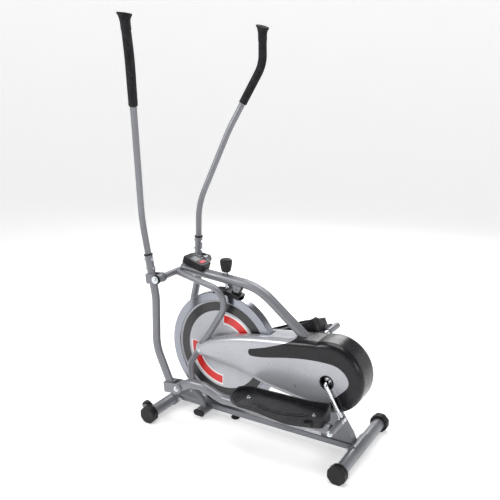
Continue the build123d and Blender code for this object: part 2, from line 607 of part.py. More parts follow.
with BuildPart() as magnet_bracket:
    cheek = FLYWHEEL_HALF + 1.2
    ring_sector(SHOE_INNER, SHOE_OUTER, SHOE_FROM, SHOE_TO, -cheek - 2.5, cheek + 2.5)
    for side in SIDES.values():
        ring_sector(FLYWHEEL_R - 4, SHOE_OUTER, SHOE_FROM, SHOE_TO, side * cheek, side * (cheek + 2.5))
    with BuildSketch(side_plane()):
        Polygon(*stations([(276, 556), (314, 543), (318, 573), (311, 579.5), (299, 579.5)]), align=None)
    extrude(amount=10, both=True)
    bore_y(BRAKE_PIVOT, 3.5 + RUN, -30, 30, Mode.SUBTRACT)
    bore_y(FLYWHEEL, SHOE_INNER, -12.5, 12.5, Mode.SUBTRACT)
write(magnet_bracket, "magnet_bracket")

with BuildPart() as brake_magnets:
    for start in (75.0, 82.0, 89.0):
        ring_sector(SHOE_INNER - 2.9, SHOE_INNER, start, start + 5, -12, 12)
write(brake_magnets, "brake_magnets")


# ---------------------------------------------------------------- swinging arms, drawn about their pivot
def arm_frame(side):
    lean = radians(-side * ARM_LEAN)
    return Plane(origin=(PIVOT[0], 0, PIVOT[1]), x_dir=(cos(lean), 0, sin(lean)),
                 z_dir=(-sin(lean), 0, cos(lean))).location


SLEEVE_TOP = 96.0
LOWER_ROUTE = [(-41, ARM_Y, SLEEVE_TOP), (-28, ARM_Y, -80), (-56, ARM_Y, -290), (-6, ARM_Y, -446)]
LOWER_RADII = [220, 190]
HANDLE_ROUTE = [(-34.6, ARM_Y, 10), (-51.5, ARM_Y, 238), (27, 229, 560), (113, 311, 832), (103.5, 300, 968)]
HANDLE_RADII = [330, 800, 150]
GRIP_START = (61.8, 262.2, 670)
GRIP_R = 17.0
SLEEVE_BOLT_Z = (38.0, 75.0)
CHEEK_FROM, CHEEK_TO = 15.5, 19.0           # pivot bracket, from the arm's middle plane
FORK_FROM, FORK_TO = 20.7, 24.7
sleeve_axis = Vector(-13, 0, 176).normalized()


def arm_bolt_plane(height):
    """Plane through the sleeve's centre line, its normal pointing forward across the tube."""
    return Plane(origin=(-41 + (SLEEVE_TOP - height) * 13 / 176, ARM_Y, height), z_dir=(-176, 0, -13))


def lug_pair(spot, x_front, radius, y_from, y_to):
    """Two side plates with a round end at (x, z), reaching forward to x_front."""
    for y_middle in (ARM_Y - (y_from + y_to) / 2, ARM_Y + (y_from + y_to) / 2):
        with BuildSketch(side_plane(y_middle)) as outline:
            with Locations(((x_front + spot[0]) / 2, spot[1])):
                Rectangle(spot[0] - x_front, 2 * radius)
            with Locations(spot):
                Circle(radius)
        extrude(outline.sketch, amount=(y_to - y_from) / 2, both=True)


with BuildPart() as lower_raw:
    add(swept(LOWER_ROUTE, LOWER_RADII, ARM_R))
    lug_pair((0, 0), -53, 19.5, CHEEK_FROM, CHEEK_TO)
    with Locations((-51.2, ARM_Y, 0)):
        Box(3.6, 2 * CHEEK_TO, 39)
    bore_y((0, 0), 17, ARM_Y - CHEEK_TO, ARM_Y + CHEEK_TO)
    lug_pair(LOWER_PIVOT, -24, 21, FORK_FROM, FORK_TO)
    with Locations((-22, ARM_Y, LOWER_PIVOT[1])):
        Box(4, 2 * FORK_TO, 42)
    with Locations((-4, ARM_Y, LOWER_PIVOT[1] + 19)):
        Box(40, 2 * FORK_TO, 4)
    add(swept(LOWER_ROUTE, LOWER_RADII, ARM_R - 3), mode=Mode.SUBTRACT)
    bore_y((0, 0), 15, ARM_Y - 40, ARM_Y + 40, Mode.SUBTRACT)
    bore_y(LOWER_PIVOT, 5.02, ARM_Y - 40, ARM_Y + 40, Mode.SUBTRACT)
    for height in SLEEVE_BOLT_Z:
        disc(arm_bolt_plane(height).offset(-30), 3.6, 60, mode=Mode.SUBTRACT)
with BuildPart() as lower_arm:
    add(largest(lower_raw.part))
write_pair(lower_arm, "lower_arm", arm_frame)

with BuildPart() as arm_bushes:
    for end in (-1, 1):
        bore_y((0, 0), 14.98, ARM_Y + end * 5, ARM_Y + end * CHEEK_TO)
        bore_y((0, 0), 19.0, ARM_Y + end * CHEEK_TO, ARM_Y + end * (CHEEK_TO + 4))
    bore_y((0, 0), CROSS_R + RUN, ARM_Y - 40, ARM_Y + 40, Mode.SUBTRACT)
write_pair(arm_bushes, "arm_bushes", arm_frame)

with BuildPart() as handlebar:
    add(swept(HANDLE_ROUTE, HANDLE_RADII, HANDLE_R, TUBE_WALL))
    for height in SLEEVE_BOLT_Z:
        disc(arm_bolt_plane(height).offset(-30), 3.6, 60, mode=Mode.SUBTRACT)
write_pair(handlebar, "handlebar", arm_frame)

with BuildPart() as sleeve_ring:
    sleeve_end = Plane(origin=(-41, ARM_Y, SLEEVE_TOP), z_dir=sleeve_axis)
    disc(sleeve_end.offset(0.05), ARM_R + 1.6, 2.5, HANDLE_R + 0.1)
    disc(sleeve_end.offset(-4), ARM_R + 1.6, 4.05, ARM_R + 0.1)
write_pair(sleeve_ring, "sleeve_ring", arm_frame)

with BuildPart() as arm_bolts:
    for height in SLEEVE_BOLT_Z:
        plane = arm_bolt_plane(height)
        disc(plane.offset(-ARM_R - 1), 3.5, 2 * ARM_R + 11)
        hexagon(plane.offset(ARM_R), 12, 5.5)
        disc(plane.offset(-ARM_R - 2.6), 6.5, 2.6)
    bore_y(LOWER_PIVOT, 5, ARM_Y - FORK_TO - 2, ARM_Y + FORK_TO + 2)
    for end in (-1, 1):
        seat = Plane(origin=(LOWER_PIVOT[0], ARM_Y + end * FORK_TO, LOWER_PIVOT[1]), z_dir=(0, end, 0))
        disc(seat, 11, 2)
        acorn_nut(seat.offset(2), 15, 4)
write_pair(arm_bolts, "arm_bolts", arm_frame)

tip, before_tip = Vector(*HANDLE_ROUTE[-1]), Vector(*HANDLE_ROUTE[-2])
grip_axis = (tip - before_tip).normalized()
with BuildPart() as grip:
    with BuildLine() as route:
        FilletPolyline(GRIP_START, HANDLE_ROUTE[-2], HANDLE_ROUTE[-1], radius=HANDLE_RADII[-1])
    with BuildSketch(Plane(origin=route.line @ 0, z_dir=route.line % 0)):
        Circle(GRIP_R)
        Circle(HANDLE_R + 0.1, mode=Mode.SUBTRACT)
    sweep()
write_pair(grip, "grip", arm_frame)

with BuildPart() as grip_end:
    across = grip_axis.cross(Vector(0, 1, 0)).normalized()
    with BuildSketch(Plane(origin=tip, x_dir=across, z_dir=across.cross(grip_axis))):
        Polygon((0, 0.1), (GRIP_R, 0.1), (GRIP_R + 6, 3), (GRIP_R + 10, 7), (GRIP_R + 10, 11),
                (GRIP_R + 7, 14), (0, 14), align=None)
    revolve(axis=Axis(tip, grip_axis))
write_pair(grip_end, "grip_end", arm_frame)


# ---------------------------------------------------------------- pedal tubes, drawn about their front pivot
def link_frame(side):
    """Frame of a pedal tube at rest: origin at its front pivot, x towards the end of the crank."""
    lean = radians(-side * ARM_LEAN)
    x = PIVOT[0] + LOWER_PIVOT[0] * cos(lean) - LOWER_PIVOT[1] * sin(lean)
    z = PIVOT[1] + LOWER_PIVOT[0] * sin(lean) + LOWER_PIVOT[1] * cos(lean)
    end_x, end_z = crank_end(side)
    rise = atan2(end_z - z, end_x - x)
    return Plane(origin=(x, 0, z), x_dir=(cos(rise), 0, sin(rise)), z_dir=(-sin(rise), 0, cos(rise))).location


LINK_END = (677.3, 0.0)
LINK_ROUTE = [(0, ARM_Y, 0), (55, ARM_Y, 30), (118, ARM_Y, 30), (200, ARM_Y, 0), (666, ARM_Y, 0)]
LINK_RADII = [60, 90, 130]
SLEEVE_R, PIN_R, PIN_INNER_Y = 13.0, 6.0, 89.0
PAD_X = (325.0, 600.0)

with BuildPart() as pedal_tube:
    add(swept(LINK_ROUTE, LINK_RADII, PEDAL_TUBE_R))
    add(swept(LINK_ROUTE, LINK_RADII, PEDAL_TUBE_R - TUBE_WALL), mode=Mode.SUBTRACT)
    with Locations((663, ARM_Y, 0)):
        Cylinder(PEDAL_TUBE_R, 3, rotation=(0, 90, 0))
    bore_y((0, 0), PEDAL_TUBE_R, ARM_Y - 20, ARM_Y + 20)
    bore_y(LINK_END, SLEEVE_R, 104, 190)
    bore_y((0, 0), 5 + RUN, 0, 300, Mode.SUBTRACT)
    bore_y(LINK_END, PIN_R + 0.02, 0, 300, Mode.SUBTRACT)
    with Locations(*[(x, ARM_Y, 18) for x in PAD_X]):
        Cylinder(3.3, 12, mode=Mode.SUBTRACT)
write_pair(pedal_tube, "pedal_tube", link_frame)

with BuildPart() as crank_pin:
    bore_y(LINK_END, PIN_R, PIN_INNER_Y, 200)
    bore_y(LINK_END, 9, PIN_INNER_Y, 103.7)
    head = Plane(origin=(LINK_END[0], 190, LINK_END[1]), z_dir=(0, 1, 0))
    disc(head, 11, 2)
    acorn_nut(head.offset(2), 16, 6)
write_pair(crank_pin, "crank_pin", link_frame)

PEDAL_SIDE = [
    (250, 38), (300, 30), (345, 28), (400, 25), (500, 13), (560, 8), (650, 8), (652, 66), (640, 69), (600, 60),
    (550, 54), (330, 50), (290, 51), (250, 55),
]
PEDAL_INSIDE = [(240, 46), (300, PEDAL_FLOOR), (622, PEDAL_FLOOR), (645, 42), (660, 90), (240, 90)]
PEDAL_RIM = [(104, 90), (112, 66), (132, 53), (165, 45), (200, 42), (240, 41), (240, 90)]    # across: (y, z)
PEDAL_UNDER = [(240, 0), (660, 0), (660, 38), (622, 30), (300, 30), (240, 42)]


def pedal_plan(inset):
    """Plan prism of a pedal: round toe, straight inner edge, outer edge drawn in towards the heel."""
    toe, heel = PEDAL_TOE + inset, PEDAL_HEEL - inset
    inner, outer = PEDAL_INNER_Y + inset, PEDAL_OUTER_Y - inset
    with BuildPart() as prism:
        with BuildSketch(Plane.XY) as plan:
            Polygon((toe, inner), (heel, inner), (heel, outer - 44), (heel - 130, outer), (toe, outer), align=None)
            fillet(plan.vertices().filter_by(lambda v: v.X < toe + 1), 64 - inset)
            fillet(plan.vertices().filter_by(lambda v: v.X > heel - 1), 26 - inset * 0.8)
            fillet(plan.vertices().filter_by(lambda v: abs(v.X - heel + 130) < 1), 90)
        extrude(amount=100)
    return prism.part


def profile_prism(points):
    """Prism across the pedal from a side profile of (x, z) points."""
    with BuildPart() as prism:
        with BuildSketch(side_plane((PEDAL_INNER_Y + PEDAL_OUTER_Y) / 2)):
            Polygon(*points, align=None)
        extrude(amount=100, both=True)
    return prism.part


PEDAL_MIDDLE = (PEDAL_INNER_Y + PEDAL_OUTER_Y) / 2
with BuildPart() as pedal:
    add(pedal_plan(0) & profile_prism(PEDAL_SIDE))
    add(pedal_plan(7) & profile_prism(PEDAL_INSIDE), mode=Mode.SUBTRACT)
    add(pedal_plan(4) & profile_prism(PEDAL_UNDER), mode=Mode.SUBTRACT)
    # the wall falls from the inner side, where it is highest, to a low rim outside
    with BuildSketch(Plane(origin=(PEDAL_TOE - 20, 0, 0), x_dir=(0, 1, 0), z_dir=(1, 0, 0))):
        Polygon(*PEDAL_RIM, align=None)
    extrude(amount=PEDAL_HEEL - PEDAL_TOE + 40, mode=Mode.SUBTRACT)
    # foot-bed: an oval tread with a second step, and ribs under the toe
    for height, length, width in ((2.0, 228, 96), (3.2, 196, 76)):
        with BuildSketch(Plane.XY.offset(PEDAL_FLOOR - 1)):
            with Locations((463, PEDAL_MIDDLE)):
                Ellipse(length / 2, width / 2)
        extrude(amount=1 + height)
    for rib in range(4):
        with Locations((272 + 10 * rib, PEDAL_MIDDLE, PEDAL_FLOOR + 0.2 * (28 - 10 * rib))):
            Box(4, 60 + 14 * rib, 4)
    # pads that stand on the tube
    with Locations(*[(x, PEDAL_MIDDLE, 25.1) for x in PAD_X]):
        Box(30, PEDAL_OUTER_Y - PEDAL_INNER_Y - 24, 11.8)
    add(swept(LINK_ROUTE, LINK_RADII, PEDAL_TUBE_R + 0.2), mode=Mode.SUBTRACT)
    with Locations(*[(x, ARM_Y, 25) for x in PAD_X]):
        Cylinder(3.2, 60, mode=Mode.SUBTRACT)
write_pair(pedal, "pedal", link_frame)

with BuildPart() as pedal_screws:
    for x in PAD_X:
        seat = Plane(origin=(x, ARM_Y, PEDAL_FLOOR))
        disc(seat.offset(-PEDAL_FLOOR + 10), 3.0, PEDAL_FLOOR)
        disc(seat, 7, 2.5)
write_pair(pedal_screws, "pedal_screws", link_frame)
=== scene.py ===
import json
from math import cos, pi, radians, sin, sqrt, tan

import bmesh
import bpy
from mathutils import Matrix, Vector


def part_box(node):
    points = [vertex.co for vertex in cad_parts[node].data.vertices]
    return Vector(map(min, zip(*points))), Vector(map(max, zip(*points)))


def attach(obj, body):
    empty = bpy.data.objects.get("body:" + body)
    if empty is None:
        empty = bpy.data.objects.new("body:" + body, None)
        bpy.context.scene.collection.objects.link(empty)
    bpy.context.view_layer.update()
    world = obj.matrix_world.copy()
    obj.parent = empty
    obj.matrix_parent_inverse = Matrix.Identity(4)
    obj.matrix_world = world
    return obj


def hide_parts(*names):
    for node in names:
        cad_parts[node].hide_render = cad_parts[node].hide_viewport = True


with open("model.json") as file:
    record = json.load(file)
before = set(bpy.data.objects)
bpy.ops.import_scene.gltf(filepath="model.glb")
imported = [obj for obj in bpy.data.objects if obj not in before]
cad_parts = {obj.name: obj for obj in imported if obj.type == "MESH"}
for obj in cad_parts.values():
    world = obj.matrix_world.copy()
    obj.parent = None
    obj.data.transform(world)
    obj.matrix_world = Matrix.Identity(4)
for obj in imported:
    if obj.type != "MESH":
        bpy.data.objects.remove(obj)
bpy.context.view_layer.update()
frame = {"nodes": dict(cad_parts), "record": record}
scene = bpy.context.scene
scene.view_settings.view_transform = "Standard"


# ---------------------------------------------------------------- node helpers
class Shader:
    """A Principled material with short calls for the nodes that feed it."""

    def __init__(self, name, base, metallic=0.0, roughness=0.5, **sockets):
        self.material = bpy.data.materials.new(name)
        self.material.use_nodes = True
        self.tree = self.material.node_tree
        self.surface = next(n for n in self.tree.nodes if n.type == "BSDF_PRINCIPLED")
        self.surface.inputs["Base Color"].default_value = (*base, 1)
        self.surface.inputs["Metallic"].default_value = metallic
        self.surface.inputs["Roughness"].default_value = roughness
        for socket, value in sockets.items():
            self.surface.inputs[socket.replace("_", " ")].default_value = value
        self.material.diffuse_color = (*base, 1)
        self.last_normal = None

    def add(self, kind, **settings):
        node = self.tree.nodes.new(kind)
        for key, value in settings.items():
            setattr(node, key, value)
        return node

    def link(self, output, target):
        self.tree.links.new(output, target)

    def coords(self):
        return self.add("ShaderNodeTexCoord").outputs["Object"]

    def value(self, source, socket):
        """Feed a socket from a node's output or with a plain number."""
        if hasattr(source, "is_linked"):
            self.link(source, socket)
        else:
            socket.default_value = source

    def noise(self, scale, detail, stretch=(1, 1, 1)):
        mapping = self.add("ShaderNodeMapping")
        mapping.inputs["Scale"].default_value = stretch
        self.link(self.coords(), mapping.inputs["Vector"])
        texture = self.add("ShaderNodeTexNoise")
        texture.inputs["Scale"].default_value = scale
        texture.inputs["Detail"].default_value = detail
        self.link(mapping.outputs["Vector"], texture.inputs["Vector"])
        return texture.outputs["Fac"]

    def pores(self, scale):
        texture = self.add("ShaderNodeTexVoronoi")
        texture.inputs["Scale"].default_value = scale
        self.link(self.coords(), texture.inputs["Vector"])
        return texture.outputs["Distance"]

    def math(self, operation, a, b=0.0, clamp=False):
        node = self.add("ShaderNodeMath", operation=operation, use_clamp=clamp)
        self.value(a, node.inputs[0])
        self.value(b, node.inputs[1])
        return node.outputs[0]

    def spread(self, source, low, high, to_low=0.0, to_high=1.0):
        """Map low..high onto to_low..to_high, clamped at both ends."""
        node = self.add("ShaderNodeMapRange")
        node.inputs["From Min"].default_value = low
        node.inputs["From Max"].default_value = high
        node.inputs["To Min"].default_value = to_low
        node.inputs["To Max"].default_value = to_high
        self.link(source, node.inputs["Value"])
        return node.outputs["Result"]

    def mix(self, factor, first, second):
        node = self.add("ShaderNodeMix", data_type="RGBA")
        self.value(factor, node.inputs["Factor"])
        for colour, socket in ((first, node.inputs[6]), (second, node.inputs[7])):
            if hasattr(colour, "is_linked"):
                self.link(colour, socket)
            else:
                socket.default_value = (*colour, 1)
        return node.outputs[2]

    def colour(self, source):
        self.link(source, self.surface.inputs["Base Color"])
        return self

    def rough(self, source):
        self.link(source, self.surface.inputs["Roughness"])
        return self

    def bump(self, height, strength, distance):
        """Add one more layer of relief on top of any earlier one."""
        node = self.add("ShaderNodeBump")
        node.inputs["Strength"].default_value = strength
        node.inputs["Distance"].default_value = distance
        self.link(height, node.inputs["Height"])
        if self.last_normal:
            self.link(self.last_normal, node.inputs["Normal"])
        self.last_normal = node.outputs["Normal"]
        self.link(self.last_normal, self.surface.inputs["Normal"])
        return self


def blotched(shader, first, second, scale):
    """Two close tones of one colour, in soft blotches."""
    blotches = shader.spread(shader.noise(scale, 3), 0.35, 0.65)
    return shader.colour(shader.mix(blotches, first, second))


# ---------------------------------------------------------------- materials
def powder_coat():
    """Grey metallic powder coat: fine flake, orange peel, faint handling marks."""
    s = Shader("grey_powder_coat", (0.19, 0.195, 0.215), 0.45, 0.4,
               Coat_Weight=0.22, Coat_Roughness=0.25)
    flakes = s.spread(s.noise(2600, 2), 0.46, 0.66)
    marks = s.spread(s.noise(9, 6, (1, 1, 0.4)), 0.35, 0.75)
    tone = s.mix(marks, (0.165, 0.168, 0.185), (0.205, 0.21, 0.23))
    s.colour(s.mix(s.math("MULTIPLY", flakes, 0.35), tone, (0.36, 0.37, 0.39)))
    s.rough(s.spread(s.noise(26, 5), 0.3, 0.7, 0.32, 0.46))
    s.bump(s.noise(420, 3), 0.10, 0.0004)
    s.bump(flakes, 0.05, 0.0001)
    return s.material


def chrome_plate():
    """Bright chrome with a faint haze and hairline scratches."""
    s = Shader("chrome_plate", (0.72, 0.73, 0.75), 1.0, 0.08)
    s.colour(s.mix(s.spread(s.noise(40, 5), 0.35, 0.7), (0.66, 0.67, 0.70), (0.80, 0.81, 0.83)))
    s.rough(s.spread(s.noise(70, 6, (1, 1, 0.15)), 0.35, 0.75, 0.05, 0.16))
    s.bump(s.noise(900, 2, (1, 1, 0.05)), 0.03, 0.0001)
    return s.material


def zinc_plate(name="zinc_plate", tone=(0.62, 0.65, 0.68)):
    """Plated or ground metal, by default bright bluish zinc: slightly mottled, fine grain."""
    s = Shader(name, tone, 1.0, 0.28)
    bright = tuple(min(1.0, c * 1.25) for c in tone)
    s.colour(s.mix(s.spread(s.noise(320, 4), 0.35, 0.7), tone, bright))
    s.rough(s.spread(s.noise(500, 4), 0.3, 0.7, 0.18, 0.36))
    s.bump(s.noise(1500, 3), 0.08, 0.0001)
    return s.material


def grained(name, base, light, roughness, grain, strength, specular):
    """Moulded plastic or rubber: fine spark-eroded grain and a little scuffing."""
    s = Shader(name, base, 0.0, roughness, Specular_IOR_Level=specular)
    scuffs = s.spread(s.noise(34, 6, (1, 0.5, 1)), 0.5, 0.8)
    s.colour(s.mix(scuffs, base, light))
    s.rough(s.spread(s.noise(60, 5), 0.3, 0.7, roughness - 0.05, roughness + 0.08))
    s.bump(s.noise(grain, 3), strength, 0.0002)
    return s.material


def silver_plastic():
    """Metallic silver paint on a moulding: fine flake under a clear coat."""
    s = Shader("silver_plastic", (0.42, 0.43, 0.46), 0.5, 0.3,
               Coat_Weight=0.4, Coat_Roughness=0.1)
    flakes = s.spread(s.noise(3200, 2), 0.45, 0.68)
    clouds = s.spread(s.noise(5, 3), 0.35, 0.65)
    tone = s.mix(clouds, (0.395, 0.40, 0.435), (0.445, 0.452, 0.485))
    s.colour(s.mix(s.math("MULTIPLY", flakes, 0.22), tone, (0.56, 0.57, 0.61)))
    s.rough(s.spread(s.noise(30, 5), 0.3, 0.7, 0.26, 0.36))
    s.bump(s.noise(1200, 2), 0.02, 0.0001)
    return s.material


def gloss_black():
    """Black gloss moulding with a trace of orange peel and dust."""
    s = Shader("gloss_black", (0.006, 0.006, 0.008), 0.0, 0.26,
               Coat_Weight=0.12, Coat_Roughness=0.12, Specular_IOR_Level=0.3)
    dust = s.spread(s.noise(1500, 4), 0.62, 0.78)
    s.colour(s.mix(s.math("MULTIPLY", dust, 0.05), (0.006, 0.006, 0.008), (0.10, 0.10, 0.10)))
    s.rough(s.spread(s.noise(18, 6), 0.3, 0.7, 0.20, 0.32))
    s.bump(s.noise(60, 2), 0.025, 0.0006)
    return s.material


def foam():
    """Closed-cell foam: matt, velvety, covered in fine pores."""
    s = Shader("foam_rubber", (0.010, 0.010, 0.012), 0.0, 0.86,
               Sheen_Weight=0.03, Sheen_Roughness=0.5, Specular_IOR_Level=0.25)
    wear = s.spread(s.noise(60, 6), 0.35, 0.7)
    s.colour(s.mix(wear, (0.007, 0.007, 0.009), (0.02, 0.02, 0.022)))
    s.rough(s.spread(s.noise(90, 4), 0.3, 0.7, 0.78, 0.92))
    s.bump(s.pores(700), 0.35, 0.0004)
    s.bump(s.noise(1800, 4), 0.3, 0.0002)
    return s.material


def polished_rim():
    """Turned and polished flywheel rim: concentric tool marks, directional gloss."""
    s = Shader("polished_rim", (0.30, 0.31, 0.34), 1.0, 0.16, Anisotropic=0.6)
    radius, _ = flywheel_polar(s)
    rings = s.add("ShaderNodeTexNoise", noise_dimensions="1D")
    rings.inputs["Scale"].default_value = 2600
    rings.inputs["Detail"].default_value = 3
    s.link(radius, rings.inputs["W"])
    tool_marks = rings.outputs["Fac"]
    s.colour(s.mix(s.spread(tool_marks, 0.35, 0.65), (0.20, 0.21, 0.24), (0.36, 0.37, 0.41)))
    s.rough(s.spread(s.noise(12, 5), 0.3, 0.7, 0.12, 0.24))
    s.bump(tool_marks, 0.02, 0.0001)
    tangent = s.add("ShaderNodeTangent", direction_type="RADIAL", axis="Y")
    s.link(tangent.outputs["Tangent"], s.surface.inputs["Tangent"])
    return s.material


def flywheel_polar(s):
    """Radius in metres and angle in degrees (0 to the rear, rising upwards) about the axle."""
    low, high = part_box("flywheel_rim")
    centre = (low + high) / 2
    shift = s.add("ShaderNodeMapping")
    shift.inputs["Location"].default_value = (-centre.x, 0, -centre.z)
    s.link(s.coords(), shift.inputs["Vector"])
    parts = s.add("ShaderNodeSeparateXYZ")
    s.link(shift.outputs["Vector"], parts.inputs["Vector"])
    x, z = parts.outputs["X"], parts.outputs["Z"]
    radius = s.math("SQRT", s.math("ADD", s.math("MULTIPLY", x, x), s.math("MULTIPLY", z, z)))
    return radius, s.math("MULTIPLY", s.math("ARCTAN2", z, x), 180 / pi)


FLASH_FROM, FLASH_TO = -6, 89  # one flash, in degrees; the other lies half a turn on
FLASH_WHITE, FLASH_RED = (0.112, 0.159), (0.119, 0.152)  # radii of the edging and the red
WHITE_EDGE = 1.2  # the white shown at each end of the red, in degrees
BLACK_RING = (0.168, 0.2052)
# radius of the dark disc painted at the hub as the shade of its opening
HUB_SHADE_RADIUS = 0.0315
PAST_HALF_TURN = 400  # an upper limit that no angle reaches


def flywheel_disc():
    """Silver disc with a black outer ring, two red flashes edged in white, and a dark disc painted at the
    hub as the shade of the hub opening.
    """
    s = Shader("flywheel_disc", (0.5, 0.51, 0.54), 0.0, 0.32,
               Coat_Weight=0.25, Coat_Roughness=0.15)
    radius, angle = flywheel_polar(s)

    def band(source, low, high, soft):
        """1 between low and high, with soft edges."""
        rise = s.spread(source, low - soft, low + soft)
        fall = s.spread(source, high - soft, high + soft)
        return s.math("SUBTRACT", rise, fall, clamp=True)

    def flashes(radii, inset):
        """1 inside either flash; angles wrap at half a turn, so the second is in two parts."""
        start, end = FLASH_FROM + inset, FLASH_TO - inset
        both = s.math("ADD", band(angle, start, end, 0.15), band(angle, start - 180, end - 180, 0.15))
        wrapped = s.math("ADD", both, band(angle, start + 180, PAST_HALF_TURN, 0.15), clamp=True)
        return s.math("MULTIPLY", band(radius, *radii, 0.0003), wrapped)

    flakes, clouds = s.spread(s.noise(2800, 2), 0.45, 0.7), s.spread(s.noise(20, 4), 0.35, 0.65)
    silver = s.mix(flakes, (0.50, 0.51, 0.55), (0.63, 0.64, 0.67))
    grey = s.mix(clouds, (0.44, 0.45, 0.49), (0.52, 0.53, 0.56))
    face = s.mix(0.4, grey, silver)
    face = s.mix(flashes(FLASH_WHITE, 0.0), face, (0.86, 0.86, 0.86))
    face = s.mix(flashes(FLASH_RED, WHITE_EDGE), face, (0.72, 0.015, 0.012))
    face = s.mix(band(radius, *BLACK_RING, 0.0004), face, (0.012, 0.012, 0.014))
    # painted shade: the dark disc at the hub stands for the shadowed hub opening
    face = s.mix(band(radius, 0.0, HUB_SHADE_RADIUS, 0.0004), face, (0.03, 0.03, 0.033))
    s.colour(face)
    s.rough(s.spread(s.noise(24, 5), 0.3, 0.7, 0.27, 0.4))
    s.bump(s.noise(900, 2), 0.04, 0.0002)
    return s.material


def display_window():
    """Dark grey liquid-crystal window, switched off, under a clear cover."""
    s = Shader("display_window", (0.10, 0.105, 0.11), 0.0, 0.32,
               Coat_Weight=0.1, Coat_Roughness=0.2, Specular_IOR_Level=0.2)
    blotched(s, (0.085, 0.09, 0.095), (0.12, 0.125, 0.13), 40)
    s.bump(s.noise(300, 2), 0.02, 0.0002)
    return s.material


def red_plastic():
    """Satin red moulding of the monitor's button."""
    s = Shader("red_button", (0.50, 0.02, 0.05), 0.0, 0.42,
               Coat_Weight=0.05, Specular_IOR_Level=0.3)
    blotched(s, (0.44, 0.016, 0.04), (0.56, 0.03, 0.06), 90)
    s.bump(s.noise(1400, 3), 0.06, 0.0001)
    return s.material


def studio_white():
    """Matt white backdrop that glows a little, so that it stays brighter than grey."""
    s = Shader("studio_floor", (0.9, 0.9, 0.9), 0.0, 0.9,
               Specular_IOR_Level=0.1, Emission_Strength=0.38)
    s.surface.inputs["Emission Color"].default_value = (1, 1, 1, 1)
    blotched(s, (0.895, 0.895, 0.895), (0.905, 0.905, 0.905), 2)
    s.bump(s.noise(60, 2), 0.01, 0.0005)
    return s.material


MATERIALS = {
    "frame_paint": powder_coat(),
    "chrome": chrome_plate(),
    "zinc_steel": zinc_plate(),
    "bearing_steel": zinc_plate("ground_steel", (0.45, 0.46, 0.48)),
    "rim_iron": polished_rim(),
    "web_plastic": flywheel_disc(),
    "black_plastic": grained("black_moulding", (0.009, 0.009, 0.0105), (0.022, 0.022, 0.024), 0.44,
                             grain=1700, strength=0.28, specular=0.28),
    "silver_plastic": silver_plastic(),
    "gloss_black_plastic": gloss_black(),
    "foam": foam(),
    "rubber": grained("black_rubber", (0.012, 0.012, 0.012), (0.026, 0.025, 0.024), 0.7,
                      grain=900, strength=0.35, specular=0.2),
    "magnet_steel": zinc_plate("magnet_nickel", (0.30, 0.30, 0.31)),
    "display": display_window(),
    "red_plastic": red_plastic(),
}
pedal_moulding = grained("pedal_moulding", (0.012, 0.012, 0.014), (0.03, 0.03, 0.033), 0.38,
                         grain=1300, strength=0.22, specular=0.35)
for entry in frame["record"]["subparts"]:
    node = frame["nodes"][entry["node"]]
    node.data.materials.clear()
    node.data.materials.append(MATERIALS[entry["material_slot"]])
for side in ("left", "right"):
    frame["nodes"][f"{side}_pedal"].data.materials[0] = pedal_moulding


# ---------------------------------------------------------------- mesh helpers
def finish_piece(name, bm, body, slot, sharp_angle):
    """Turn a bmesh into a piece that rides on a body, in its slot's own material."""
    bmesh.ops.recalc_face_normals(bm, faces=bm.faces)
    mesh = bpy.data.meshes.new(name)
    bm.to_mesh(mesh)
    bm.free()
    mesh.shade_smooth()
    mesh.set_sharp_from_angle(angle=sharp_angle)
    mesh.materials.append(MATERIALS[slot])
    piece = bpy.data.objects.new(name, mesh)
    scene.collection.objects.link(piece)
    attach(piece, body)
    return piece


def loft(bm, rings):
    """Skin a list of rings, each the same number of points, and close both ends."""
    rows = [[bm.verts.new(point) for point in ring] for ring in rings]
    count = len(rows[0])
    for lower, upper in zip(rows, rows[1:]):
        for i in range(count):
            bm.faces.new((lower[i], lower[(i + 1) % count], upper[(i + 1) % count], upper[i]))
    bm.faces.new(list(reversed(rows[0])))
    bm.faces.new(rows[-1])


def ring(centre, direction, radius, count=40, guide=Vector((0, 1, 0))):
    """Points of a circle about a direction; the guide keeps neighbours in step."""
    direction = direction.normalized()
    first = (guide - direction * guide.dot(direction)).normalized()
    second = direction.cross(first)
    angles = [2 * pi * i / count for i in range(count)]
    return [centre + (first * cos(a) + second * sin(a)) * radius for a in angles]


def turned(centre, profile, count=72):
    """Closed solid of revolution about a Y axis through centre, from (radius, y) points."""
    bm = bmesh.new()
    rows = []
    for i in range(count):
        a = 2 * pi * i / count
        points = [(centre[0] + r * cos(a), y, centre[1] + r * sin(a)) for r, y in profile]
        rows.append([bm.verts.new(point) for point in points])
    for row, following in zip(rows, rows[1:] + rows[:1]):
        for j in range(len(profile)):
            k = (j + 1) % len(profile)
            bm.faces.new((row[j], row[k], following[k], following[j]))
    return bm


# ---------------------------------------------------------------- places shared with the frame, in metres
PIVOT = Vector((-0.252, 0, 0.617))  # middle of the arms' shared axis
CRANK = (0.438, 0.298)  # x and z of the crank's axis
ARM_LEAN = radians(5.9)  # how far each arm has swung at rest
SIDES = {"left": -1, "right": 1}


def arm_matrix(side):
    """From an arm's own frame, whose origin is its pivot, to the shared frame at rest."""
    return Matrix.Translation(PIVOT) @ Matrix.Rotation(side * ARM_LEAN, 4, "Y")


